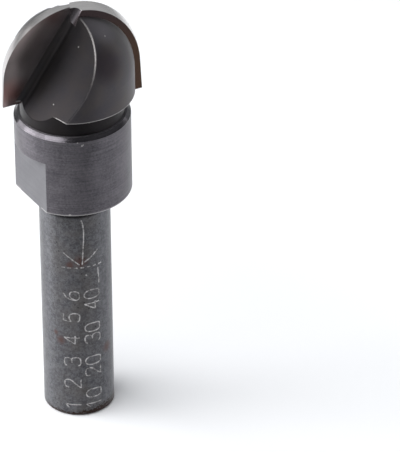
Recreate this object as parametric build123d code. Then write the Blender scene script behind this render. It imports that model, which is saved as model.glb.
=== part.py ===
from build123d import *
import math
import os

# Two-flute cove router bit with a ball-nosed head, standing on the end of its shank.
# Millimetres, +Z up along the axis of rotation, origin at the centre of the shank's end face.

# Shank, the plain cylinder that the collet grips
shank_diameter = 8.0
shank_length = 28.7
shank_end_chamfer = 0.2

# Collar with two spanner flats, turned on the same bar
collar_diameter = 13.0
collar_height = 10.0
collar_top_chamfer = 0.4
collar_bottom_round = 0.15
flats_across = 11.0
flats_height = 6.45
flats_azimuth = 211.0

# Neck between the collar and the head
neck_diameter = 11.6
neck_height = 2.25

# Steel core of the head: a short cylinder under a ball, both of one radius
core_radius = 7.0
core_straight = 3.05
core_rim_round = 0.12

# Cutting ball, and how the flat cutting tips lie in it
cutting_radius = 8.0
blade_azimuth = 206.0
blade_count = 2
shear_angle = 6.1
rake_offset = 0.4
tip_thickness = 1.5
tip_below_centre = 3.4
relief_shift = 1.4
tip_joint_angle = 20.0

# Flutes: each has the rake face as one wall and a slanting floor as the other
flute_slant = 30.7
flute_reach = 3.8
flute_opening = 102.0
flute_corner_radius = 0.9
seat_depth = 0.3
flute_edge_break = 0.1

# Largest distance at which a point still counts as on a surface
on_surface = 0.001

# Room that a cutting shape has past the surface that it cuts
overrun = 4.0

# Heights along the axis
collar_bottom = shank_length
collar_top = collar_bottom + collar_height
core_rim = collar_top + neck_height
ball_centre = core_rim + core_straight
blade_step = 360.0 / blade_count


def round_corner(face, point, radius):
    """The same face with its corner at this point rounded."""
    return fillet(face.vertices().sort_by_distance(point)[0], radius)


def turned_blank():
    """The bar as it leaves the lathe: shank, collar, neck and ball-nosed head."""
    shank_radius = shank_diameter / 2
    collar_radius = collar_diameter / 2
    neck_radius = neck_diameter / 2
    outline = Polyline(
        (0, 0),
        (shank_radius - shank_end_chamfer, 0),
        (shank_radius, shank_end_chamfer),
        (shank_radius, collar_bottom),
        (collar_radius, collar_bottom),
        (collar_radius, collar_top - collar_top_chamfer),
        (collar_radius - collar_top_chamfer, collar_top),
        (neck_radius, collar_top),
        (neck_radius, core_rim),
        (core_radius, core_rim),
        (core_radius, ball_centre),
    )
    dome = CenterArc((0, ball_centre), core_radius, 0, 90)
    axis_line = Line((0, ball_centre + core_radius), (0, 0))
    profile = make_face(outline + dome + axis_line)
    profile = round_corner(profile, (collar_radius, collar_bottom), collar_bottom_round)
    profile = round_corner(profile, (core_radius, core_rim), core_rim_round)
    return revolve(Plane.XZ * profile, Axis.Z)


def spanner_flat(azimuth):
    """The stock that a face mill takes off one side of the collar, from its lower edge up."""
    depth = collar_diameter / 2 - flats_across / 2 + overrun
    slab = Box(
        depth,
        collar_diameter + overrun,
        flats_height + overrun,
        align=(Align.MIN, Align.CENTER, Align.MIN),
    )
    cut = Pos(flats_across / 2, 0, collar_bottom - overrun) * slab
    return Rot(0, 0, azimuth) * cut


def blade_plane(azimuth):
    """Frame of one blade at the ball's centre: x outward, y up the blade, z to its back."""
    outward = math.radians(azimuth)
    lean = math.radians(shear_angle)
    x_dir = (math.cos(outward), math.sin(outward), 0)
    z_dir = (
        math.cos(lean) * math.sin(outward),
        -math.cos(lean) * math.cos(outward),
        math.sin(lean),
    )
    return Plane(origin=(0, 0, ball_centre), x_dir=x_dir, z_dir=z_dir)


def flute_corner(azimuth):
    """Section plane of one flute at its corner line: x up the rake wall, z along the corner.

    The corner line is where the rake face meets the flute's slanting floor.
    """
    frame = blade_plane(azimuth)
    slant = math.radians(flute_slant)
    corner_way = frame.y_dir * math.cos(slant) - frame.x_dir * math.sin(slant)
    across = frame.x_dir * math.cos(slant) + frame.y_dir * math.sin(slant)
    corner = frame.origin + frame.z_dir * rake_offset + frame.x_dir * flute_reach
    return Plane(origin=corner, x_dir=across, z_dir=corner_way)


def flute_cut(azimuth):
    """The open space in front of one blade: a prism with the rake face and the floor as walls."""
    opening = math.radians(flute_opening)
    reach = cutting_radius * 2 + overrun
    section = Polyline(
        (0, 0),
        (reach, 0),
        (reach, reach),
        (reach * math.cos(opening), reach),
        (reach * math.cos(opening), reach * math.sin(opening)),
        close=True,
    )
    face = round_corner(make_face(section), (0, 0), flute_corner_radius)
    prism = extrude(flute_corner(azimuth) * face, amount=reach, both=True)
    above_collar = Pos(0, 0, collar_top) * Box(
        4 * reach,
        4 * reach,
        2 * reach,
        align=(Align.CENTER, Align.CENTER, Align.MIN),
    )
    return prism & above_collar


def core_depth(point):
    """How far a point lies under the surface of the head's core, a ball on a cylinder."""
    radius = math.hypot(point.X, point.Y)
    height = max(point.Z - ball_centre, 0)
    return core_radius - math.hypot(radius, height)


def is_flute_edge(edge, azimuth):
    """Whether an edge is one where a flute's floor runs out through the core's surface."""
    middle = edge @ 0.5
    opening = math.radians(flute_opening)
    local = flute_corner(azimuth).to_local_coords(middle)
    off_floor = local.X * math.sin(opening) - local.Y * math.cos(opening)
    return abs(off_floor) < on_surface and abs(core_depth(middle)) < on_surface


def tip_blank(azimuth):
    """The flat plate of one tip before its land is ground, as deep as its seat in the steel."""
    frame = blade_plane(azimuth)
    slant = math.radians(flute_slant)
    reach = cutting_radius + overrun
    inner_at_centre = flute_reach - seat_depth / math.cos(slant)
    inner_low = inner_at_centre + reach * math.tan(slant)
    inner_top = (inner_at_centre + reach) / math.tan(slant)
    outline = Polyline(
        (inner_low, -reach),
        (reach, -reach),
        (reach, inner_top),
        (-reach, inner_top),
        close=True,
    )
    plate = extrude(frame.offset(rake_offset) * make_face(outline), amount=tip_thickness)
    above_foot = Pos(0, 0, ball_centre - tip_below_centre) * Box(
        2 * reach,
        4 * reach,
        4 * reach,
        align=(Align.MIN, Align.CENTER, Align.MIN),
    )
    return plate & (Rot(0, 0, azimuth - tip_joint_angle) * above_foot)


def land_solid(azimuth):
    """Ball-nosed form whose surface is the ground land of one blade.

    Its axis runs up the blade, ahead of the rake face by the relief shift, so the land falls
    away behind the cutting edge while the edge itself keeps the cutting radius.
    """
    frame = blade_plane(azimuth)
    edge_radius_squared = cutting_radius**2 - rake_offset**2
    radius = math.sqrt(edge_radius_squared + (rake_offset + relief_shift) ** 2)
    foot = -(tip_below_centre + overrun)
    side = Polyline((0, radius), (0, foot), (radius, foot), (radius, 0))
    nose = CenterArc((0, 0), radius, 0, 90)
    plane = frame.offset(-relief_shift)
    return revolve(plane * make_face(side + nose), Axis(plane.origin, plane.y_dir))


def cutting_tip(azimuth):
    """One brazed tip: a plate with a ground land, trimmed at the centre by the other flute."""
    tip = tip_blank(azimuth) & land_solid(azimuth)
    for step in range(1, blade_count):
        tip = tip - flute_cut(azimuth + step * blade_step)
    return tip


def body_of(blade_azimuths):
    """The one-piece steel body with its flats, flutes, tip seats and broken flute edges."""
    body = turned_blank()
    body = body - spanner_flat(flats_azimuth) - spanner_flat(flats_azimuth + 180)
    for azimuth in blade_azimuths:
        body = body - flute_cut(azimuth)
    for azimuth in blade_azimuths:
        body = body - tip_blank(azimuth)
    for azimuth in blade_azimuths:
        sharp = [edge for edge in body.edges() if is_flute_edge(edge, azimuth)]
        body = chamfer(sharp, flute_edge_break)
    return body


azimuths = [blade_azimuth + step * blade_step for step in range(blade_count)]
body = body_of(azimuths)
cutting_tip_front = cutting_tip(azimuths[0])
cutting_tip_back = cutting_tip(azimuths[1])

os.makedirs("parts", exist_ok=True)
export_step(body, "parts/body.step")
export_step(cutting_tip_front, "parts/cutting_tip_front.step")
export_step(cutting_tip_back, "parts/cutting_tip_back.step")
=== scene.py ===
# %% [markdown]
# # A cove router bit
# The bit stands on the end of its shank on a white table. Its body is one piece of blackened steel,
# and two ground carbide tips are brazed into the head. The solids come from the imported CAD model.
# This lesson adds what CAD leaves out: the camera, the light, the finishes and the engraved marks.

import math

import bpy
import numpy as np
from mathutils import Matrix, Vector


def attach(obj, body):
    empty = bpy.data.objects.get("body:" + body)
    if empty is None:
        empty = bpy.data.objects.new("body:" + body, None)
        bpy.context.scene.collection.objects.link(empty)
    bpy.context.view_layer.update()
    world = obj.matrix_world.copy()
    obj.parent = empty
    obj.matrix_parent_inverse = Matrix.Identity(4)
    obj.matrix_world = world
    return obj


MM = 0.001
FRONT_AZIMUTH = 206.0
BACK_AZIMUTH = 26.0

# Each tip is kept by the azimuth in degrees that it points to.
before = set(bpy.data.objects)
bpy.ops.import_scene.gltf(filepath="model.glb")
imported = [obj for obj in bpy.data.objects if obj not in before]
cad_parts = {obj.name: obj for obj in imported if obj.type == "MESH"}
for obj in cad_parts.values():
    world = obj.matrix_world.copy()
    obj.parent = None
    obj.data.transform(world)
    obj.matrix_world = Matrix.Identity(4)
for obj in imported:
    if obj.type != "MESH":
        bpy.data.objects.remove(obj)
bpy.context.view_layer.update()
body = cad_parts["body"]
tips = {
    FRONT_AZIMUTH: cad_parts["cutting_tip_front"],
    BACK_AZIMUTH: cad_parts["cutting_tip_back"],
}

# %% [markdown]
# The camera was found by fitting the outlines of the bit to the photograph. It stands 57 cm away
# and looks down by 33 degrees through a long lens, so the bit's sides stay nearly parallel.
# The bit stands at the left of the picture, and no lens shift is needed for that.

# %% Camera
PICTURE_WIDTH = 400
FOCAL_PIXELS = 4938.16
SENSOR_WIDTH = 36.0
CAMERA_PLACE = Vector((14.0, -463.97, 325.54)) * MM
LOOK_DOWN = math.radians(33.1)
ROLL = math.radians(-0.502)

forward = Vector((0, math.cos(LOOK_DOWN), -math.sin(LOOK_DOWN)))
level_right = Vector((1, 0, 0))
level_up = level_right.cross(forward)
camera_right = math.cos(ROLL) * level_right + math.sin(ROLL) * level_up
camera_up = math.cos(ROLL) * level_up - math.sin(ROLL) * level_right

lens = bpy.data.cameras.new("photo_lens")
lens.sensor_fit = "HORIZONTAL"
lens.sensor_width = SENSOR_WIDTH
lens.lens = FOCAL_PIXELS * SENSOR_WIDTH / PICTURE_WIDTH
camera = bpy.data.objects.new("photo_camera", lens)
turn = Matrix((camera_right, camera_up, -forward)).transposed()
camera.matrix_world = Matrix.Translation(CAMERA_PLACE) @ turn.to_4x4()
bpy.context.collection.objects.link(camera)
bpy.context.scene.camera = camera
bpy.context.scene.view_settings.view_transform = "Standard"
print("focal length in mm:", round(lens.lens, 1))

# %% [markdown]
# Every material below is a small graph of nodes. One helper makes an empty material. One adds a
# node, fills in its settings and makes its links. The third turns the hex colours of a colour
# picker into linear light.


# %% Helpers for materials
def linear(hex_colour):
    """Linear red, green, blue and alpha of an sRGB hex colour.

    Each channel c of 0 to 1 becomes ((c + 0.055) / 1.055) to the power 2.4, or c / 12.92 when dark.
    """
    channels = [int(hex_colour[i : i + 2], 16) / 255 for i in (1, 3, 5)]
    bright = [((c + 0.055) / 1.055) ** 2.4 if c > 0.04045 else c / 12.92 for c in channels]
    return (*bright, 1.0)


def empty_material(name):
    """A new material, and its tree of nodes with nothing in it."""
    material = bpy.data.materials.new(name)
    material.use_nodes = True
    material.node_tree.nodes.clear()
    return material, material.node_tree


def add(tree, kind, inputs=None, **settings):
    """Adds one node. Settings are its attributes.

    Inputs maps each socket to a value, to an output, or to a node. A node stands for the first of
    its outputs that is in use.
    """
    node = tree.nodes.new("ShaderNode" + kind)
    for name, value in settings.items():
        setattr(node, name, value)
    for socket, value in (inputs or {}).items():
        if isinstance(value, bpy.types.Node):
            value = next(output for output in value.outputs if output.enabled)
        if isinstance(value, bpy.types.NodeSocket):
            tree.links.new(value, node.inputs[socket])
        else:
            node.inputs[socket].default_value = value
    return node


SMOOTH = {"interpolation_type": "SMOOTHSTEP"}
print("middle grey in linear light:", round(linear("#808080")[0], 3))

# %% [markdown]
# The table is a sheet of white laminate. It could end in a curved backdrop, but the camera looks
# down so steeply that the sheet alone fills the picture. Its front edge lies 7 cm in front of the
# bit, below the picture. Past it the room is dark, and the steel mirrors that in its middle.

# %% Table
TABLE_HALF = 3.0
TABLE_FRONT = -0.07
TABLE_WHITE = linear("#FBFCFE")

laminate, tree = empty_material("white_laminate")
surface = add(tree, "BsdfDiffuse", {"Color": TABLE_WHITE})
add(tree, "OutputMaterial", {"Surface": surface})

corners = TABLE_HALF * np.array([(-1, 0, 0), (1, 0, 0), (1, 1, 0), (-1, 1, 0)], dtype=float)
corners[:2, 1] = TABLE_FRONT
sheet = bpy.data.meshes.new("table")
sheet.from_pydata(corners.tolist(), [], [(0, 1, 2, 3)])
sheet.materials.append(laminate)
table = bpy.data.objects.new("table", sheet)
bpy.context.collection.objects.link(table)
print("table corners in m:", corners.tolist())

# %% [markdown]
# Dark steel shows its shape by what it mirrors. The room is an even grey overhead, a little darker
# behind the bit, and darkest at the side of the camera. Two pale boards stand low at the left and
# the right: they draw the bright strips along both edges of the shank and the collar. The room
# could be built from walls. A smooth function of direction is easier to tune and has no seams.

# %% Surroundings
ROOM_WHITE = linear("#FAFCFF")
ROOM_LEVEL = 0.4
BACK_WALL = 0.3
CAMERA_SIDE = 0.16
LEFT_WALL = 0.6
RIGHT_WALL = 1.2

world = bpy.data.worlds.new("studio")
bpy.context.scene.world = world
world.use_nodes = True
tree = world.node_tree
tree.nodes.clear()
toward = add(tree, "TexCoord")
x, y, z = add(tree, "SeparateXYZ", {0: toward.outputs["Generated"]}).outputs
low = add(tree, "MapRange", {"Value": z, "From Min": 0.5, "From Max": 0.1}, **SMOOTH)
behind = add(tree, "MapRange", {"Value": y, "From Min": 0.3, "From Max": 0.9}, **SMOOTH)
behind = add(tree, "Math", {0: behind, 1: low}, operation="MULTIPLY")
level = add(tree, "Mix", {"Factor": behind, "A": ROOM_LEVEL, "B": BACK_WALL})
in_front = add(tree, "MapRange", {"Value": y, "From Min": -0.35, "From Max": -0.85}, **SMOOTH)
level = add(tree, "Mix", {"Factor": in_front, "A": level, "B": CAMERA_SIDE})
for start, end, bright in ((-0.5, -0.9, LEFT_WALL), (0.45, 0.9, RIGHT_WALL)):
    side = add(tree, "MapRange", {"Value": x, "From Min": start, "From Max": end}, **SMOOTH)
    side = add(tree, "Math", {0: side, 1: low}, operation="MULTIPLY")
    level = add(tree, "Mix", {"Factor": side, "A": level, "B": bright})
sky = add(tree, "Background", {"Color": ROOM_WHITE, "Strength": level})
add(tree, "OutputWorld", {"Surface": sky})
print("world nodes:", len(tree.nodes))

# %% [markdown]
# Four area lamps add to the room. The key is a long strip high at the front left, turned so that its
# mirror image lies along the land of the front tip. A second softbox at the left widens the light
# on the flat. Two small lamps hang low over the table, one at each side, and keep it white there, so
# the shadow of the bit fades out as early as it does on a table that is lit from all round.

# %% Softboxes
HEAD = (0, 0, 30.0)
SOFTBOX_DISTANCE = 450
KEY_ROLL = 20.0


def softbox(name, place_mm, aim_mm, size, power, roll=0.0):
    """A rectangular area lamp at one point that looks at another, both in millimetres.

    Size is its width and height in metres. Roll, in degrees, turns the rectangle about the line
    between the two points.
    """
    start, aim = Vector(place_mm) * MM, Vector(aim_mm) * MM
    lamp = bpy.data.lights.new(name, "AREA")
    lamp.shape = "RECTANGLE"
    lamp.size, lamp.size_y = size
    lamp.energy = power
    holder = bpy.data.objects.new(name, lamp)
    face = (start - aim).to_track_quat("Z", "Y").to_matrix().to_4x4()
    rolled = Matrix.Rotation(math.radians(roll), 4, "Z")
    holder.matrix_world = Matrix.Translation(start) @ face @ rolled
    bpy.context.collection.objects.link(holder)
    return holder


def from_head(azimuth, elevation):
    """Place in millimetres, one softbox distance from the head, in a direction in degrees."""
    a, e = math.radians(azimuth), math.radians(elevation)
    return (
        SOFTBOX_DISTANCE * math.cos(e) * math.cos(a),
        SOFTBOX_DISTANCE * math.cos(e) * math.sin(a),
        HEAD[2] + SOFTBOX_DISTANCE * math.sin(e),
    )


lamps = [
    softbox("key_softbox", from_head(209, 46), HEAD, (0.8, 0.13), 2.1, roll=KEY_ROLL),
    softbox("left_softbox", from_head(169, 29), HEAD, (0.4, 0.2), 0.98),
    softbox("right_floor_lamp", (128, 32, 75), (128, 32, 0), (0.06, 0.10), 0.043),
    softbox("left_floor_lamp", (-95, 40, 75), (-95, 40, 0), (0.06, 0.10), 0.03),
]
print("lamps:", [lamp.name for lamp in lamps])

# %% [markdown]
# The body is tool steel with a black oxide finish, a thin skin of magnetite. It is a metal with a
# dark, almost neutral colour and a soft sheen. Each zone of the bar was made in its own way and wears
# in its own way, so the zones come first. Each is a mask of 0 or 1, worked out from the place on the
# bar in millimetres. The zones could be painted by hand, but sums stay sharp and follow the sizes.

# %% Blackened steel: coordinates and zones
SHANK_RADIUS = 4.0
COLLAR_BOTTOM, COLLAR_TOP = 28.7, 38.7
CHAMFER = 0.4
FLAT_AZIMUTH = math.radians(211)
FLAT_WAY = (math.cos(FLAT_AZIMUTH), math.sin(FLAT_AZIMUTH), 0)
FLAT_DISTANCE = 5.5
FLAT_TOP = 35.15
NECK_RADIUS = 5.8
NECK_MIDDLE, NECK_HALF = 39.8, 1.13
CORE_RIM = 40.95

# How far a point may lie off a surface and still count as on it.
ON_FLAT = 0.02
ON_SURFACE = 0.03

oxide, tree = empty_material("black_oxide_steel")
place = add(tree, "TexCoord").outputs["Object"]
mm = add(tree, "Mapping", {"Vector": place, "Scale": (MM, MM, MM)}, vector_type="TEXTURE")
x, y, z = add(tree, "SeparateXYZ", {0: mm}).outputs
radius = add(tree, "VectorMath", {0: mm, 1: (1, 1, 0)}, operation="MULTIPLY")
radius = add(tree, "VectorMath", {0: radius}, operation="LENGTH")
outside = add(tree, "Math", {0: radius, 1: NECK_RADIUS + 0.15}, operation="GREATER_THAN")

# The bar from its foot up: shank, collar, head.
above_shank = add(tree, "Math", {0: z, 1: COLLAR_BOTTOM - 0.02}, operation="GREATER_THAN")
above_collar = add(tree, "Math", {0: z, 1: COLLAR_TOP + 0.01}, operation="GREATER_THAN")
on_shank = add(tree, "Math", {0: 1.0, 1: above_shank}, operation="SUBTRACT")
on_collar = add(tree, "Math", {0: above_shank, 1: above_collar}, operation="SUBTRACT")

# The two spanner flats lie at one distance from the axis.
across = add(tree, "VectorMath", {0: mm, 1: FLAT_WAY}, operation="DOT_PRODUCT")
across = add(tree, "Math", {0: across}, operation="ABSOLUTE")
on_flat = add(tree, "Math", {0: across, 1: FLAT_DISTANCE, 2: ON_FLAT}, operation="COMPARE")
on_flat = add(tree, "Math", {0: on_flat, 1: above_shank}, operation="MULTIPLY")
below_flat_top = add(tree, "Math", {0: z, 1: FLAT_TOP}, operation="LESS_THAN")
on_flat = add(tree, "Math", {0: on_flat, 1: below_flat_top}, operation="MULTIPLY")

# The collar's chamfer and the neck.
chamfer_middle, chamfer_half = COLLAR_TOP - CHAMFER / 2, CHAMFER / 2 - 0.005
on_chamfer = add(tree, "Math", {0: z, 1: chamfer_middle, 2: chamfer_half}, operation="COMPARE")
on_neck = add(tree, "Math", {0: z, 1: NECK_MIDDLE, 2: NECK_HALF}, operation="COMPARE")
neck_skin = add(tree, "Math", {0: radius, 1: NECK_RADIUS, 2: ON_SURFACE}, operation="COMPARE")
on_neck = add(tree, "Math", {0: on_neck, 1: neck_skin}, operation="MULTIPLY")

# The two turned edges that face down, the collar's and the head's, get a pale line of wear and painted
# highlight.
collar_edge = add(tree, "Math", {0: z, 1: COLLAR_BOTTOM + 0.08, 2: 0.1}, operation="COMPARE")
rim_edge = add(tree, "Math", {0: z, 1: CORE_RIM + 0.07, 2: 0.07}, operation="COMPARE")
turned_edge = add(tree, "Math", {0: collar_edge, 1: rim_edge}, operation="MAXIMUM")
turned_edge = add(tree, "Math", {0: turned_edge, 1: outside}, operation="MULTIPLY")
print("nodes for the zones:", len(tree.nodes))

# %% [markdown]
# Turning leaves fine rings. They are noise that is stretched along x and y, so it changes only with
# height. Six to a millimetre is coarser than the real feed, so that the rings show in the picture.
# The shank was ground lengthwise and has faint bands, and the head is a mix of rings and grain. A
# true groove for each ring would need far more faces than the bit has. Clouds are the oxide's own
# unevenness.

# %% Blackened steel: tool marks
RINGS_PER_MM = 6.0
BANDS_PER_MM = 1.6

squeeze = add(tree, "Mapping", {"Vector": mm, "Scale": (0.12, 0.12, RINGS_PER_MM)})
rings = add(tree, "TexNoise", {"Vector": squeeze, "Scale": 1.0, "Detail": 3.0, "Roughness": 0.7})
stretch = add(tree, "Mapping", {"Vector": mm, "Scale": (BANDS_PER_MM, BANDS_PER_MM, 0.05)})
bands = add(tree, "TexNoise", {"Vector": stretch, "Scale": 1.0, "Detail": 2.0, "Roughness": 0.5})
grain = add(tree, "TexNoise", {"Vector": mm, "Scale": 4.0, "Detail": 5.0, "Roughness": 0.8})
cloud = add(tree, "TexNoise", {"Vector": mm, "Scale": 0.45, "Detail": 3.0, "Roughness": 0.6})
milled = add(tree, "Mix", {"Factor": 0.75, "A": rings, "B": grain})
tool_marks = add(tree, "Mix", {"Factor": above_shank, "A": bands, "B": milled})
tool_marks = add(tree, "Mix", {"Factor": on_collar, "A": tool_marks, "B": rings})
print("rings and bands per mm:", RINGS_PER_MM, BANDS_PER_MM)

# %% [markdown]
# Handling rubs the oxide off where two faces meet. The bare edges are made pale enough to stand for
# the highlight that a small round would catch, so they are wear and painted highlight in one. A
# bevel node gives the normal that a rounded edge would have, and where that differs from the true
# normal there is an edge. A painted line could do the same on one edge only. The edges are drawn
# 0.15 mm wide, a little over one pixel of the picture, and grain breaks them up.

# %% Blackened steel: worn edges and painted highlight
EDGE_REACH = 0.15 * MM

rounded = add(tree, "Bevel", {"Radius": EDGE_REACH}, samples=6)
true_normal = add(tree, "NewGeometry").outputs["Normal"]
bend = add(tree, "VectorMath", {0: rounded, 1: true_normal}, operation="DOT_PRODUCT")
edge = add(tree, "MapRange", {"Value": bend, "From Min": 0.985, "From Max": 0.9}, **SMOOTH)
patchy = add(
    tree,
    "MapRange",
    {"Value": grain, "From Min": 0.35, "From Max": 0.6, "To Min": 0.35, "To Max": 1.0},
)
edge = add(tree, "Math", {0: edge, 1: patchy}, operation="MULTIPLY")
print("edges worn to a width in mm:", EDGE_REACH / MM)

# %% [markdown]
# Damp has reached the shank. Its lowest millimetre is a ragged brown rim, taller at the right where
# rust has grown. Above it are a few faint rust spots, which are round patches that noise breaks up.
# Noise could scatter them too, but real damage has no even spacing, so they are placed one by one.

# %% Blackened steel: the brown rim and rust spots
RIM_LEFT, RIM_RIGHT = 0.6, 1.4

# Azimuth in degrees, height and radius in millimetres.
RUST_SPOTS = [
    (243.0, 10.2, 1.0),
    (326.0, 8.4, 1.2),
    (279.0, 21.0, 1.4),
    (262.0, 20.6, 0.9),
    (233.7, 11.1, 0.6),
]

breakup = add(tree, "TexNoise", {"Vector": mm, "Scale": 3.2, "Detail": 5.0, "Roughness": 0.8})
rim_height = add(
    tree,
    "MapRange",
    {"Value": x, "From Min": -1.0, "From Max": 4.0, "To Min": RIM_LEFT, "To Max": RIM_RIGHT},
)
ragged = add(
    tree,
    "MapRange",
    {"Value": breakup, "From Min": 0.35, "From Max": 0.65, "To Min": 0.3, "To Max": 1.3},
)
rim_height = add(tree, "Math", {0: rim_height, 1: ragged}, operation="MULTIPLY")
below_rim = add(tree, "Math", {0: rim_height, 1: z}, operation="SUBTRACT")
rim = add(tree, "MapRange", {"Value": below_rim, "From Min": 0.0, "From Max": 0.15, "To Max": 0.9})

# A mask that gathers several places starts from 0, and each place raises it.
rust = 0.0
for azimuth, height, size in RUST_SPOTS:
    a = math.radians(azimuth)
    centre = (SHANK_RADIUS * math.cos(a), SHANK_RADIUS * math.sin(a), height)
    away = add(tree, "VectorMath", {0: mm, 1: centre}, operation="DISTANCE")
    spot = add(tree, "MapRange", {"Value": away, "From Min": size, "From Max": 0.0})
    rust = add(tree, "Math", {0: rust, 1: spot}, operation="MAXIMUM")
rust = add(tree, "Math", {0: rust, 1: breakup}, operation="ADD")
rust = add(tree, "MapRange", {"Value": rust, "From Min": 0.78, "From Max": 1.3, "To Max": 0.85})
print("rust spots:", len(RUST_SPOTS))

# %% [markdown]
# The bright nicks are places where the oxide chipped off, small balls of bare metal, set one by one.
# The small dark pits of the shank are the middles of Voronoi cells, and only where a cloud is thick.

# %% Blackened steel: nicks and pits
NICK_BRIGHT = 0.42
PITS_PER_MM = 1.9

# Place and radius in millimetres.
NICKS = [
    ((0.94, -2.78, 48.3), 0.11),
    ((-1.89, -4.64, 42.12), 0.1),
    ((3.84, -2.3, 49.38), 0.1),
    ((0.68, -6.46, 38.27), 0.1),
    ((1.16, -6.4, 37.84), 0.15),
    ((1.3, -6.37, 37.93), 0.11),
    ((-0.34, -6.49, 28.85), 0.2),
]

nicks = 0.0
for centre, size in NICKS:
    away = add(tree, "VectorMath", {0: mm, 1: centre}, operation="DISTANCE")
    spot = add(
        tree,
        "MapRange",
        {"Value": away, "From Min": size, "From Max": size / 2, "To Max": NICK_BRIGHT},
    )
    nicks = add(tree, "Math", {0: nicks, 1: spot}, operation="MAXIMUM")
pits = add(tree, "TexVoronoi", {"Vector": mm, "Scale": PITS_PER_MM, "Randomness": 1.0})
pits = add(tree, "MapRange", {"Value": pits, "From Min": 0.24, "From Max": 0.08, "To Max": 0.6})
thick = add(tree, "MapRange", {"Value": cloud, "From Min": 0.46, "From Max": 0.56})
pits = add(tree, "Math", {0: pits, 1: thick}, operation="MULTIPLY")
pits = add(tree, "Math", {0: pits, 1: on_shank}, operation="MULTIPLY")
print("nicks:", len(NICKS))

# %% [markdown]
# Each flute is a wedge whose first wall is the rake face of a tip and whose second is a slanting
# floor. The two meet in a straight corner line. That is simple in the axes of the blade: x outward,
# y up the blade and z through it, from the centre of the ball. In the plane across the corner line,
# two coordinates are enough: how far up the rake wall a point lies, and how far off the wall.
# Everything about a flute comes from those two: the distance from the corner line, from its round
# and from the floor. The sums are longer than a painted map, but they fit both flutes.

# %% Blades: coordinates
BALL_CENTRE = Vector((0, 0, 44.0))
SHEAR = math.radians(6.1)
RAKE_OFFSET = 0.4
FLUTE_REACH = 3.8
FLUTE_SLANT = math.radians(30.7)
FLUTE_OPENING = math.radians(102)
UP_WALL = (math.cos(FLUTE_SLANT), math.sin(FLUTE_SLANT), 0)
CORNER_UP_WALL = FLUTE_REACH * math.cos(FLUTE_SLANT)
OFF_FLOOR = (math.sin(FLUTE_OPENING), math.cos(FLUTE_OPENING), 0)
print("corner line up the wall in mm:", round(CORNER_UP_WALL, 2))


def blade_coordinates(tree, azimuth):
    """Node that gives the place in millimetres in the axes of the blade at this azimuth.

    Its axes are the columns of a turn: outward, up the blade (through cross outward), through.
    """
    a = math.radians(azimuth)
    outward = Vector((math.cos(a), math.sin(a), 0))
    level = Vector((math.sin(a), -math.cos(a), 0))
    through = math.cos(SHEAR) * level + Vector((0, 0, math.sin(SHEAR)))
    axes = Matrix((outward, through.cross(outward), through)).transposed()
    inputs = {
        "Vector": add(tree, "TexCoord").outputs["Object"],
        "Location": BALL_CENTRE * MM,
        "Rotation": axes.to_euler(),
        "Scale": (MM, MM, MM),
    }
    return add(tree, "Mapping", inputs, vector_type="TEXTURE")


# %% [markdown]
# Painted shade darkens the valley of each flute and the neck under the head, so those stay darkest.
# It fades with the distance from the corner line, and is thinner near the top. It is darkest in
# the round of the corner, where that runs out into the floor. The floor of each flute is darker
# too. The outer edge of the floor is broken, a narrow face that is pale: bare, and a painted
# highlight. Edges close to the corner line are sheltered from wear.

# %% Blackened steel: the flutes
# Painted shade on the neck, under the head, and in the valley of each flute.
NECK_SHADE = 0.76
SHADE_REACH = 4.5
FLUTE_ROUND = (-0.04, -0.44, 0.0)
BREAK_MIDDLE, BREAK_HALF = -0.048, 0.044

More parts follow.
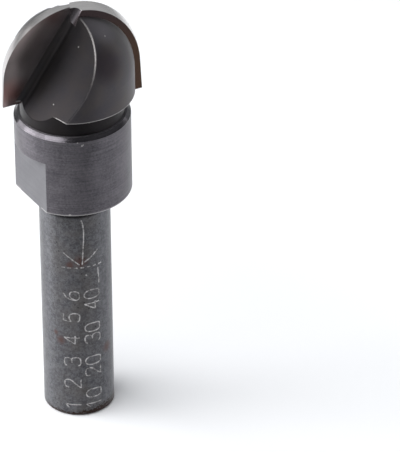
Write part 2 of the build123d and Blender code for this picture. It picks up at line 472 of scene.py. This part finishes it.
thinner_at_top = add(
    tree,
    "MapRange",
    {"Value": z, "From Min": 45.5, "From Max": 50.0, "To Min": 1.0, "To Max": 0.6},
)
flute_floor = broken_edge = sheltered = 0.0
shade_and_pits = add(tree, "Math", {0: on_neck, 1: NECK_SHADE}, operation="MULTIPLY")
for azimuth in tips:
    blade = blade_coordinates(tree, azimuth)
    off_corner = add(
        tree,
        "VectorMath",
        {0: blade, 1: (FLUTE_REACH, 0, RAKE_OFFSET)},
        operation="SUBTRACT",
    )
    up_wall = add(tree, "VectorMath", {0: off_corner, 1: UP_WALL}, operation="DOT_PRODUCT")
    off_wall = add(tree, "SeparateXYZ", {0: off_corner}).outputs["Z"]
    before_wall = add(tree, "Math", {0: off_wall, 1: 0.0}, operation="LESS_THAN")
    section = add(tree, "CombineXYZ", {0: up_wall, 1: off_wall})
    off_floor = add(tree, "VectorMath", {0: section, 1: OFF_FLOOR}, operation="DOT_PRODUCT")
    off_line = add(tree, "VectorMath", {0: section}, operation="LENGTH")
    off_round = add(tree, "VectorMath", {0: section, 1: FLUTE_ROUND}, operation="DISTANCE")

    on_break = add(tree, "Math", {0: off_floor, 1: BREAK_MIDDLE, 2: BREAK_HALF}, operation="COMPARE")
    on_break = add(tree, "Math", {0: on_break, 1: before_wall}, operation="MULTIPLY")
    broken_edge = add(tree, "Math", {0: broken_edge, 1: on_break}, operation="MAXIMUM")

    on_floor = add(tree, "Math", {0: off_floor, 1: 0.0, 2: ON_SURFACE}, operation="COMPARE")
    on_floor = add(tree, "Math", {0: on_floor, 1: before_wall}, operation="MULTIPLY")
    past_round = add(
        tree,
        "MapRange",
        {"Value": off_line, "From Min": 0.7, "From Max": 1.6, "To Min": 0.3},
    )
    on_floor = add(tree, "Math", {0: on_floor, 1: past_round}, operation="MULTIPLY")
    flute_floor = add(tree, "Math", {0: flute_floor, 1: on_floor}, operation="MAXIMUM")

    # Painted shade in the valley, darkest in the round of the corner.
    near = add(
        tree,
        "MapRange",
        {"Value": off_line, "From Min": SHADE_REACH, "From Max": 0.6, "To Max": 0.45},
    )
    near = add(tree, "Math", {0: near, 1: thinner_at_top}, operation="MULTIPLY")
    deep = add(tree, "MapRange", {"Value": off_round, "From Min": 0.55, "From Max": 0.2, "To Max": 0.42})
    valley = add(tree, "Math", {0: near, 1: deep}, operation="ADD")
    valley = add(tree, "Math", {0: valley, 1: above_collar}, operation="MULTIPLY")
    shade_and_pits = add(tree, "Math", {0: shade_and_pits, 1: valley}, operation="MAXIMUM")

    close = add(tree, "MapRange", {"Value": off_line, "From Min": 1.6, "From Max": 0.9})
    sheltered = add(tree, "Math", {0: sheltered, 1: close}, operation="MAXIMUM")
flute_floor = add(tree, "Math", {0: flute_floor, 1: above_collar}, operation="MULTIPLY")
flute_floor = add(tree, "Math", {0: flute_floor, 1: thinner_at_top}, operation="MULTIPLY")
print("flutes darkened:", len(tips))

# %% [markdown]
# Painted shade also lies on the chamfer of the collar, less of it in a band near x = -1.7 mm, and
# on the shank just under the collar. Pale metal shows where there is an edge, worn bare and brightened
# as a painted highlight, but not in painted shade and hardly low on the head. The turned edges, pale
# with wear and a painted highlight, and the bare nicks each have their own measure.

# %% Blackened steel: painted shade and pale edges
# Painted shade on the collar's chamfer, less of it in a band near x = -1.7 mm.
CHAMFER_SHADE = 0.62
LESS_SHADE_X, LESS_SHADE_HALF, LESS_SHADE_BY = -1.7, 1.2, 0.12
FADE_START, FADE_END = COLLAR_BOTTOM - 2.1, COLLAR_BOTTOM - 1.7
TURNED_WEAR_AND_HIGHLIGHT = 0.3

less_shaded = add(tree, "Math", {0: x, 1: LESS_SHADE_X, 2: LESS_SHADE_HALF}, operation="COMPARE")
chamfer_shade = add(tree, "Math", {0: less_shaded, 1: -LESS_SHADE_BY, 2: CHAMFER_SHADE}, operation="MULTIPLY_ADD")
chamfer_shade = add(tree, "Math", {0: on_chamfer, 1: chamfer_shade}, operation="MULTIPLY")
shade_and_pits = add(tree, "Math", {0: shade_and_pits, 1: chamfer_shade}, operation="MAXIMUM")
# Painted shade on the shank just under the collar.
under_collar_shade = add(
    tree,
    "MapRange",
    {"Value": z, "From Min": FADE_START, "From Max": FADE_END, "To Max": 0.85},
    **SMOOTH,
)
under_collar_shade = add(tree, "Math", {0: under_collar_shade, 1: on_shank}, operation="MULTIPLY")
shade_and_pits = add(tree, "Math", {0: shade_and_pits, 1: under_collar_shade}, operation="MAXIMUM")

sheltered = add(tree, "Math", {0: shade_and_pits, 1: sheltered}, operation="MAXIMUM")
open_to_wear = add(tree, "Math", {0: 1.0, 1: sheltered}, operation="SUBTRACT")
high = add(
    tree,
    "MapRange",
    {"Value": z, "From Min": 45.0, "From Max": 49.0, "To Min": 0.12, "To Max": 0.5},
)
edge = add(tree, "Math", {0: edge, 1: open_to_wear}, operation="MULTIPLY")
edge = add(tree, "Math", {0: edge, 1: high}, operation="MULTIPLY")
# The broken outer edge of each flute floor, high on the head: wear and a painted highlight.
break_wear_and_highlight = add(tree, "MapRange", {"Value": z, "From Min": 45.3, "From Max": 48.3, "To Max": 0.42})
break_wear_and_highlight = add(tree, "Math", {0: break_wear_and_highlight, 1: broken_edge}, operation="MULTIPLY")
break_wear_and_highlight = add(tree, "Math", {0: break_wear_and_highlight, 1: patchy}, operation="MULTIPLY")
break_wear_and_highlight = add(tree, "Math", {0: break_wear_and_highlight, 1: open_to_wear}, operation="MULTIPLY")
# A pale line on the turned edges: wear and a painted highlight.
turned_wear_and_highlight = add(tree, "Math", {0: turned_edge, 1: TURNED_WEAR_AND_HIGHLIGHT}, operation="MULTIPLY")
for mask in (break_wear_and_highlight, turned_wear_and_highlight, nicks):
    edge = add(tree, "Math", {0: edge, 1: mask}, operation="MAXIMUM")
shade_and_pits = add(tree, "Math", {0: shade_and_pits, 1: pits}, operation="MAXIMUM")
print("nodes for the zones and their wear:", len(tree.nodes))

# %% [markdown]
# The oxide lies between a dark and a worn grey, by one tone that mixes the tool marks, the grain, a
# speckle on the shank and the clouds. Its cast is warmer in front. On the ball there are two painted
# patches: a plum one is painted shade, and a pale one near the top is a painted highlight.

# %% Blackened steel: tone and oxide
OXIDE_DARK = linear("#414044")
OXIDE_WARM = linear("#554F49")
SHANK_WORN = linear("#7B7C80")
COLLAR_WORN_AND_HIGHLIGHT = linear("#7C787E")
HEAD_WORN = linear("#555155")
PLUM_SHADE = linear("#2A2228")
CORE_RADIUS = 7.0
PATCH_REACH, PATCH_CORE = 3.0, 0.8
# Two painted patches on the ball: plum painted shade, and a pale painted highlight near the top.
SHADE_AND_HIGHLIGHT_PATCHES = [((4.0, -4.7, 47.2), PLUM_SHADE, 0.62), ((3.0, -1.3, 50.2), COLLAR_WORN_AND_HIGHLIGHT, 0.5)]

tone = add(tree, "MapRange", {"Value": tool_marks, "From Min": 0.32, "From Max": 0.68})
spread = add(tree, "MapRange", {"Value": grain, "From Min": 0.35, "From Max": 0.65})
tone = add(tree, "Mix", {"Factor": 0.6, "A": tone, "B": spread})
speckle = add(tree, "TexNoise", {"Vector": mm, "Scale": 2.2, "Detail": 4.0, "Roughness": 0.95})
speckle = add(tree, "MapRange", {"Value": speckle, "From Min": 0.42, "From Max": 0.58})
speckled = add(tree, "Math", {0: on_shank, 1: 0.6}, operation="MULTIPLY")
tone = add(tree, "Mix", {"Factor": speckled, "A": tone, "B": speckle})
blotch = add(tree, "MapRange", {"Value": cloud, "From Min": 0.35, "From Max": 0.65})
tone = add(tree, "Mix", {"Factor": 0.2, "A": tone, "B": blotch})
strength = add(tree, "MapRange", {"Value": above_collar, "To Min": 1.0, "To Max": 0.6})
tone = add(tree, "Mix", {"Factor": strength, "A": 0.5, "B": tone})

worn = add(tree, "Mix", {"Factor": above_shank, "A": SHANK_WORN, "B": COLLAR_WORN_AND_HIGHLIGHT}, data_type="RGBA")
worn = add(tree, "Mix", {"Factor": above_collar, "A": worn, "B": HEAD_WORN}, data_type="RGBA")
colour = add(tree, "Mix", {"Factor": tone, "A": OXIDE_DARK, "B": worn}, data_type="RGBA")
warm = add(tree, "MapRange", {"Value": y, "From Min": -2.6, "From Max": -3.9, "To Max": 0.5})
warm = add(tree, "Math", {0: warm, 1: on_shank}, operation="MULTIPLY")
head_warm = add(tree, "Math", {0: above_collar, 1: 0.4}, operation="MULTIPLY")
warm = add(tree, "Math", {0: warm, 1: head_warm}, operation="MAXIMUM")
warm = add(tree, "Math", {0: warm, 1: blotch}, operation="MULTIPLY")
colour = add(tree, "Mix", {"Factor": warm, "A": colour, "B": OXIDE_WARM}, data_type="RGBA")

off_ball = add(tree, "VectorMath", {0: mm, 1: BALL_CENTRE}, operation="DISTANCE")
on_ball = add(tree, "Math", {0: off_ball, 1: CORE_RADIUS, 2: ON_SURFACE}, operation="COMPARE")
for centre, tint, most in SHADE_AND_HIGHLIGHT_PATCHES:
    away = add(tree, "VectorMath", {0: mm, 1: centre}, operation="DISTANCE")
    painted_patch = add(
        tree,
        "MapRange",
        {"Value": away, "From Min": PATCH_REACH, "From Max": PATCH_CORE, "To Max": most},
        **SMOOTH,
    )
    painted_patch = add(tree, "Math", {0: painted_patch, 1: on_ball}, operation="MULTIPLY")
    colour = add(tree, "Mix", {"Factor": painted_patch, "A": colour, "B": tint}, data_type="RGBA")
print("patches on the ball:", len(SHADE_AND_HIGHLIGHT_PATCHES))

# %% [markdown]
# The masks are laid over the oxide in this order: the milled flats, the darker flute floors, the pale
# edges of wear and painted highlight, rust, the brown rim, and last the painted shade with the pits. A
# metal with stretched highlights stands for the fine turned rings, and a sheen for the dust on them.
# The chamfer is smoother and shines. Paint would be simpler, but oxide is a skin so thin that the
# metal shines through.

# %% Blackened steel: the finish
FLAT_DARK = linear("#636267")
FLAT_PALE = linear("#7A7A7D")
# Pale steel for the edges: worn bare, and bright enough to be a painted highlight as well.
EDGE_WEAR_AND_HIGHLIGHT = linear("#F0EDEB")
RUST = linear("#5C4744")
RIM_BROWN = linear("#2E1C14")
# Near black for painted shade in the flutes, on the neck, the chamfer and under the collar, for the pits,
# and for the darker flute floors.
SHADE_AND_PIT_BLACK = linear("#141213")
FLOOR_DARK = 0.6
CHAMFER_SMOOTH = 0.38
RELIEF_DEPTH = 0.004 * MM

flat = add(tree, "Mix", {"Factor": tone, "A": FLAT_DARK, "B": FLAT_PALE}, data_type="RGBA")
flute_floor = add(tree, "Math", {0: flute_floor, 1: FLOOR_DARK}, operation="MULTIPLY")
layers = [
    (on_flat, flat),
    (flute_floor, SHADE_AND_PIT_BLACK),
    (edge, EDGE_WEAR_AND_HIGHLIGHT),
    (rust, RUST),
    (rim, RIM_BROWN),
    (shade_and_pits, SHADE_AND_PIT_BLACK),
]
for mask, layer in layers:
    colour = add(tree, "Mix", {"Factor": mask, "A": colour, "B": layer}, data_type="RGBA")
rough = add(
    tree,
    "MapRange",
    {"Value": grain, "From Min": 0.3, "From Max": 0.7, "To Min": 0.44, "To Max": 0.56},
)
smooth = add(tree, "Math", {0: on_chamfer, 1: CHAMFER_SMOOTH}, operation="MULTIPLY")
rough = add(tree, "Math", {0: rough, 1: smooth}, operation="SUBTRACT")
relief = add(tree, "Math", {0: tool_marks, 1: grain}, operation="ADD")
bump = add(tree, "Bump", {"Height": relief, "Strength": 0.25, "Distance": RELIEF_DEPTH})
round_axis = add(tree, "Tangent", direction_type="RADIAL", axis="Z")
finish = {
    "Base Color": colour,
    "Metallic": 1.0,
    "Roughness": rough,
    "Normal": bump,
    "Sheen Weight": 0.5,
    "Sheen Roughness": 0.35,
    "Anisotropic": 0.85,
    "Anisotropic Rotation": 0.25,
    "Tangent": round_axis,
}
skin = add(tree, "BsdfPrincipled", finish)
add(tree, "OutputMaterial", {"Surface": skin})
body.material_slots[0].material = oxide
print("nodes in", oxide.name + ":", len(tree.nodes))

# %% [markdown]
# Each tip is a plate of sintered tungsten carbide, ground on its land and lapped on its rake face.
# The land is pale and shows fine grinding lines, and the front tip's land is dulled below its top.
# The rake face is darker and warm, darkest at its outer edge and in the painted shade of the valley,
# with heat tint from brazing at its foot and its top. The plate's back wall is brown with braze.

# %% Ground carbide: sizes and colours
PLATE_THICKNESS = 1.5
CUTTING_RADIUS = 8.0
RELIEF_SHIFT = 1.4

# The cutting edge lies on the ball that it cuts and on the land, whose axis is ahead of the rake face.
LAND_RADIUS = math.sqrt(CUTTING_RADIUS**2 - RAKE_OFFSET**2 + (RAKE_OFFSET + RELIEF_SHIFT) ** 2)
TINT_FOOT = (6.6, -2.0, RAKE_OFFSET)
TINT_TOP = (2.0, 7.2, RAKE_OFFSET)
LAND = linear("#FFFDFB")
LAND_DARK = linear("#E2DEDC")
LAND_DULL = linear("#8C8685")
CUT_END = linear("#8A8488")
CUT_SHADE = linear("#5C5557")
RAKE = linear("#756D6C")
RAKE_HIGH = linear("#A89A98")
RAKE_INNER = linear("#C4BABB")
RAKE_OUTER = linear("#554F4E")
RAKE_TINT = linear("#8A5E58")
BRAZE_DARK = linear("#3B3233")
BRAZE = linear("#4A3A31")
print("radius of the land in mm:", round(LAND_RADIUS, 2))

# %% [markdown]
# Each face has its own colour. It changes over the plate, so it is worked out from the place in the
# axes of the blade: how far up a point lies, how far from the flute's corner line, and how far from
# the axis of the land. A picture could be wrapped round the plate, but it would need a map of it.


# %% Ground carbide: the colours of a tip's faces
def land_colour(tree, lines, up, dulled):
    """Colour of the ground land: two greys by the grinding lines, duller by 0 to 1 below its top."""
    land = add(tree, "Mix", {"Factor": lines, "A": LAND_DARK, "B": LAND}, data_type="RGBA")
    dull = add(tree, "MapRange", {"Value": up, "From Min": 7.3, "From Max": 6.4, "To Max": dulled})
    return add(tree, "Mix", {"Factor": dull, "A": land, "B": LAND_DULL}, data_type="RGBA")


def rake_colour(tree, plate, up, from_land_axis):
    """Colour of the rake face: darker outwards, paler high up and inwards, then tint and painted shade.
    """
    off_corner = add(tree, "VectorMath", {0: plate, 1: UP_WALL}, operation="DOT_PRODUCT")
    off_corner = add(tree, "Math", {0: off_corner, 1: CORNER_UP_WALL}, operation="SUBTRACT")
    outer = add(
        tree,
        "MapRange",
        {"Value": from_land_axis, "From Min": 6.3, "From Max": 7.9, "To Max": 0.7},
    )
    high = add(tree, "MapRange", {"Value": up, "From Min": 2.5, "From Max": 6.5, "To Max": 0.85})
    inner = add(tree, "MapRange", {"Value": off_corner, "From Min": 3.0, "From Max": 0.4}, **SMOOTH)

    foot = add(tree, "VectorMath", {0: plate, 1: TINT_FOOT}, operation="DISTANCE")
    foot = add(tree, "MapRange", {"Value": foot, "From Min": 2.6, "From Max": 0.3, "To Max": 0.8})
    top = add(tree, "VectorMath", {0: plate, 1: TINT_TOP}, operation="DISTANCE")
    top = add(tree, "MapRange", {"Value": top, "From Min": 1.6, "From Max": 0.2, "To Max": 0.5})
    tint = add(tree, "Math", {0: foot, 1: top}, operation="MAXIMUM")
    # Painted shade on the rake face near the flute's valley.
    valley_shade = add(tree, "MapRange", {"Value": off_corner, "From Min": 1.7, "From Max": 0.6, "To Max": 0.25})

    colour = RAKE
    for mask, layer in (
        (outer, RAKE_OUTER),
        (high, RAKE_HIGH),
        (inner, RAKE_INNER),
        (tint, RAKE_TINT),
        (valley_shade, SHADE_AND_PIT_BLACK),
    ):
        colour = add(tree, "Mix", {"Factor": mask, "A": colour, "B": layer}, data_type="RGBA")
    return colour


def cut_colour(tree, azimuth):
    """Colour of the plate's inner end, which the other flute cut off: shaded above its corner."""
    other = blade_coordinates(tree, azimuth + 180)
    up_wall = add(tree, "VectorMath", {0: other, 1: UP_WALL}, operation="DOT_PRODUCT")
    start, end = CORNER_UP_WALL + 0.2, CORNER_UP_WALL + 0.4
    shaded = add(tree, "MapRange", {"Value": up_wall, "From Min": start, "From Max": end})
    return add(tree, "Mix", {"Factor": shaded, "A": CUT_END, "B": CUT_SHADE}, data_type="RGBA")


# %% [markdown]
# The faces are found by three sums. The rake face and the back wall are the plate's two planes. The
# land lies on a round form whose axis is ahead of the rake face, so the distance from that axis finds
# it. What is left is the inner end. A selection by hand would break when the model changes. The
# grinding lines are drawn nine to a millimetre, coarser than a wheel's grit, so that they show.

# %% Ground carbide: one material for each tip
GRIND_LINES_PER_MM = 9.0
ON_PLANE = 0.01
LAND_DULLED = {FRONT_AZIMUTH: 0.65, BACK_AZIMUTH: 0.0}


def ground_carbide(name, azimuth, dulled):
    """Material of the tip that points to this azimuth, with its land dulled by 0 to 1 below its top."""
    material, tree = empty_material(name)
    plate = blade_coordinates(tree, azimuth)
    out, up, through = add(tree, "SeparateXYZ", {0: plate}).outputs
    back = RAKE_OFFSET + PLATE_THICKNESS
    on_rake = add(tree, "Math", {0: through, 1: RAKE_OFFSET + ON_PLANE}, operation="LESS_THAN")
    on_back = add(tree, "Math", {0: through, 1: back - ON_PLANE}, operation="GREATER_THAN")
    up_only = add(tree, "Math", {0: up, 1: 0.0}, operation="MAXIMUM")
    from_axis = add(tree, "CombineXYZ", {0: out, 1: up_only, 2: through})
    from_axis = add(tree, "VectorMath", {0: from_axis, 1: (0, 0, RELIEF_SHIFT)}, operation="ADD")
    from_axis = add(tree, "VectorMath", {0: from_axis}, operation="LENGTH")
    on_land = add(tree, "Math", {0: from_axis, 1: LAND_RADIUS - ON_SURFACE}, operation="GREATER_THAN")

    squeeze = add(tree, "Mapping", {"Vector": plate, "Scale": (0.4, 0.4, GRIND_LINES_PER_MM)})
    lines = add(tree, "TexNoise", {"Vector": squeeze, "Scale": 1.0, "Detail": 3.0, "Roughness": 0.7})
    grain = add(tree, "TexNoise", {"Vector": plate, "Scale": 7.0, "Detail": 4.0, "Roughness": 0.7})
    low = add(tree, "MapRange", {"Value": up, "From Min": 6.5, "From Max": 1.5})
    braze = add(tree, "Mix", {"Factor": low, "A": BRAZE_DARK, "B": BRAZE}, data_type="RGBA")

    colour = cut_colour(tree, azimuth)
    for mask, layer in (
        (on_land, land_colour(tree, lines, up, dulled)),
        (on_rake, rake_colour(tree, plate, up, from_axis)),
        (on_back, braze),
    ):
        colour = add(tree, "Mix", {"Factor": mask, "A": colour, "B": layer}, data_type="RGBA")
    rough = add(
        tree,
        "MapRange",
        {"Value": grain, "From Min": 0.3, "From Max": 0.7, "To Min": 0.2, "To Max": 0.27},
    )
    bump = add(tree, "Bump", {"Height": lines, "Strength": 0.3, "Distance": RELIEF_DEPTH})
    finish = {"Base Color": colour, "Metallic": 1.0, "Roughness": rough, "Normal": bump}
    skin = add(tree, "BsdfPrincipled", finish)
    add(tree, "OutputMaterial", {"Surface": skin})
    return material


for azimuth, tip in tips.items():
    carbide = ground_carbide(tip.name + "_carbide", azimuth, LAND_DULLED[azimuth])
    tip.material_slots[0].material = carbide
    print("nodes in", carbide.name + ":", len(carbide.node_tree.nodes))

# %% [markdown]
# The shank carries marks that a laser or a scribing needle left: an arrow that points at a broken
# ring, a short line for the least depth to clamp, a dot, and two rows of plain numbers. Each stroke
# is a line on the unrolled shank. That is easier to draw than a line in space: an azimuth and a
# height are enough for each point.

# %% Marks: signs on the unrolled shank
# Each stroke is a list of points: azimuth in degrees, height in millimetres.
ARROW_SHAFT = [
    (281.2, 26.5),
    (283.0, 26.2),
    (284.6, 25.5),
    (285.0, 24.8),
    (284.6, 24.0),
    (283.4, 22.6),
    (282.3, 21.4),
    (281.6, 20.6),
]
ARROW_HEAD = [
    [(251.1, 22.2), (264.0, 21.4), (277.1, 20.6)],
    [(308.8, 22.2), (296.0, 21.4), (285.3, 20.9)],
]
DEPTH_LINE = [(308.7, 19.75), (309.6, 18.8), (310.6, 17.6)]
DOT = [(287.0, 19.2), (289.0, 19.0)]
RING_HEIGHT = 20.2
DASH_DEGREES = 6.0

dashes = [
    [(start, RING_HEIGHT), (start + DASH_DEGREES, RING_HEIGHT)]
    for start in np.linspace(247, 310, 7)
]
sign_strokes = [ARROW_SHAFT, *ARROW_HEAD, DEPTH_LINE, DOT, *dashes]
print("strokes of the signs:", len(sign_strokes))

# %% [markdown]
# A digit lives in a box one unit high and 0.6 wide. The round ones are drawn as a few straight
# strokes, and their corners are then cut. A font would bring hundreds of points for each digit, and
# these thin strokes look more like a needle's.

# %% Marks: digits
ROUND_DIGITS = {
    "0": [[(0.3, 0), (0, 0), (0, 1), (0.6, 1), (0.6, 0), (0.3, 0)]],
    "2": [
        [(0.02, 0.75), (0.05, 1.02), (0.58, 1.02), (0.6, 0.62), (0.25, 0.3), (0, 0.01)],
        [(0, 0), (0.6, 0)],
    ],
    "3": [
        [(0, 0.85), (0.1, 1.02), (0.6, 1.0), (0.55, 0.55), (0.25, 0.53)],
        [(0.25, 0.53), (0.62, 0.55), (0.62, 0), (0.1, -0.03), (0, 0.15)],
    ],
    "5": [
        [(0.55, 1), (0.08, 1)],
        [(0.08, 1), (0.04, 0.52)],
        [(0.04, 0.52), (0.35, 0.68), (0.65, 0.5), (0.6, -0.02), (0.15, -0.02), (0, 0.12)],
    ],
    "6": [
        [
            (0.5, 1),
            (0.1, 0.75),
            (-0.02, 0.3),
            (0.02, -0.03),
            (0.6, -0.03),
            (0.62, 0.55),
            (0.2, 0.58),
            (0.02, 0.3),
        ]
    ],
}
SHARP_DIGITS = {
    "1": [[(0.1, 0.75), (0.35, 1)], [(0.35, 1), (0.35, 0)]],
    "4": [[(0.45, 0), (0.45, 1)], [(0.45, 1), (0, 0.3)], [(0, 0.3), (0.6, 0.3)]],
}


def cut_corners(points, times=3):
    """The same line with its corners cut round.

    Each pass puts two points on every segment from p to q, at 3/4 p + 1/4 q and 1/4 p + 3/4 q, and
    keeps the two ends.
    """
    line = np.array(points, dtype=float)
    for _ in range(times):
        p, q = line[:-1], line[1:]
        inner = np.stack([0.75 * p + 0.25 * q, 0.25 * p + 0.75 * q], axis=1).reshape(-1, 2)
        line = np.concatenate([line[:1], inner, line[-1:]])
    return line.tolist()


digits = {digit: [cut_corners(s) for s in strokes] for digit, strokes in ROUND_DIGITS.items()}
digits |= SHARP_DIGITS
print("digits:", sorted(digits))

# %% [markdown]
# The two rows of numbers read up the shank, side by side. The one at the right counts in tens.

# %% Marks: rows of numbers
ROW_START = 0.9
DIGIT_HEIGHT = 1.85
DIGIT_PITCH = 1.5
ROWS = {275.0: "1 2 3 4 5 6", 310.0: "10 20 30 40"}


def number_row(text, azimuth):
    """Strokes of a row of digits that reads up the shank from this azimuth.

    A digit's own width runs up the shank and its own height runs round it, towards lower azimuths:
    height along the shank = start + pitch * place in the row + digit height * x, and the azimuth
    gets less by digit height * y, turned into degrees of the shank's circle.
    """
    degrees_per_unit = math.degrees(DIGIT_HEIGHT / SHANK_RADIUS)
    strokes = []
    for place, digit in enumerate(text):
        start = ROW_START + DIGIT_PITCH * place
        for stroke in digits.get(digit, []):
            around = [azimuth - y * degrees_per_unit for _, y in stroke]
            along = [start + DIGIT_HEIGHT * x for x, _ in stroke]
            strokes.append(list(zip(around, along)))
    return strokes


number_strokes = [stroke for azimuth, text in ROWS.items() for stroke in number_row(text, azimuth)]
print("strokes of the numbers:", len(number_strokes))

# %% [markdown]
# The strokes could be a texture, but a texture has no edge of its own. Here each one becomes a thin
# closed ribbon, wrapped round the shank. It stands a hundredth of a millimetre proud, as the burr of
# a scratch does, and its underside is sunk in the steel so that no gap shows.

# %% Marks: ribbons
STROKE_WIDTH = 0.14
STROKE_PROUD = 0.012
STROKE_SUNK = 0.03
STROKE_STEP = 0.12


def ribbon(points, width):
    """Corners and faces of one closed ribbon along a stroke.

    On the unrolled shank the ribbon's two sides lie half a width to each side of the stroke, along
    the normal of its direction at each point. The points lie in even steps of about STROKE_STEP.
    Rolled up, a side's corner is at (r cos a, r sin a, z), once with r above the shank's radius and
    once with r below it.
    """
    line = np.array(points, dtype=float)
    flat = np.column_stack([np.radians(line[:, 0]) * SHANK_RADIUS, line[:, 1]])
    steps = np.concatenate([[0.0], np.cumsum(np.linalg.norm(np.diff(flat, axis=0), axis=1))])
    along = np.linspace(0.0, steps[-1], max(3, int(steps[-1] / STROKE_STEP)))
    fine = np.column_stack([np.interp(along, steps, flat[:, k]) for k in (0, 1)])
    way = np.gradient(fine, axis=0)
    way /= np.linalg.norm(way, axis=1, keepdims=True)
    aside = np.column_stack([-way[:, 1], way[:, 0]]) * width / 2
    rows = []
    for side, radius in (
        (fine - aside, SHANK_RADIUS + STROKE_PROUD),
        (fine + aside, SHANK_RADIUS + STROKE_PROUD),
        (fine + aside, SHANK_RADIUS - STROKE_SUNK),
        (fine - aside, SHANK_RADIUS - STROKE_SUNK),
    ):
        angle = side[:, 0] / SHANK_RADIUS
        rows.append(np.column_stack([radius * np.cos(angle), radius * np.sin(angle), side[:, 1]]))
    corners = np.stack(rows, axis=1).reshape(-1, 3) * MM
    count = len(fine)
    i, j = np.meshgrid(np.arange(count - 1), np.arange(4), indexing="ij")
    k = (j + 1) % 4
    sides = np.stack([4 * i + j, 4 * i + 4 + j, 4 * i + 4 + k, 4 * i + k], axis=-1).reshape(-1, 4)
    last = 4 * count - 1
    caps = np.array([[0, 1, 2, 3], [last, last - 1, last - 2, last - 3]])
    return corners, np.concatenate([sides, caps])


ribbons = [ribbon(stroke, STROKE_WIDTH) for stroke in sign_strokes + number_strokes]
print("ribbons:", len(ribbons))

# %% [markdown]
# All the ribbons are joined in one mesh, because the marks are one piece of work on one surface. The
# faces of each ribbon number its corners from 0, so the count of the corners before it is added.


# %% Marks: one mesh
def mesh_of(name, parts):
    """One mesh object from many (corners, faces) pairs, put into the collection."""
    offsets = np.cumsum([0] + [len(corners) for corners, _ in parts[:-1]])
    corners = np.concatenate([c for c, _ in parts])
    faces = np.concatenate([f + offset for (_, f), offset in zip(parts, offsets)])
    mesh = bpy.data.meshes.new(name)
    mesh.from_pydata(corners.tolist(), [], faces.tolist())
    mesh.validate()
    piece = bpy.data.objects.new(name, mesh)
    bpy.context.collection.objects.link(piece)
    return piece


marks = mesh_of("shank_marks", ribbons)
print("faces in", marks.name + ":", len(marks.data.polygons))

# %% [markdown]
# A scratched stroke has lost its oxide and scatters light, so it is a paler and rougher grey than
# the shank. Noise thins it, as a real scratch is thinner where the needle skipped.

# %% Marks: finish
SCRATCH_PALE = linear("#BDBBBB")
SCRATCH_DIM = linear("#6A6868")

scratch, tree = empty_material("scribed_steel")
place = add(tree, "TexCoord").outputs["Object"]
mm = add(tree, "Mapping", {"Vector": place, "Scale": (MM, MM, MM)}, vector_type="TEXTURE")
skips = add(tree, "TexNoise", {"Vector": mm, "Scale": 2.2, "Detail": 4.0, "Roughness": 0.8})
skips = add(tree, "MapRange", {"Value": skips, "From Min": 0.38, "From Max": 0.6})
colour = add(tree, "Mix", {"Factor": skips, "A": SCRATCH_DIM, "B": SCRATCH_PALE}, data_type="RGBA")
skin = add(tree, "BsdfPrincipled", {"Base Color": colour, "Metallic": 1.0, "Roughness": 0.6})
add(tree, "OutputMaterial", {"Surface": skin})
marks.data.materials.append(scratch)
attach(marks, "root")
print("nodes in", scratch.name + ":", len(tree.nodes))
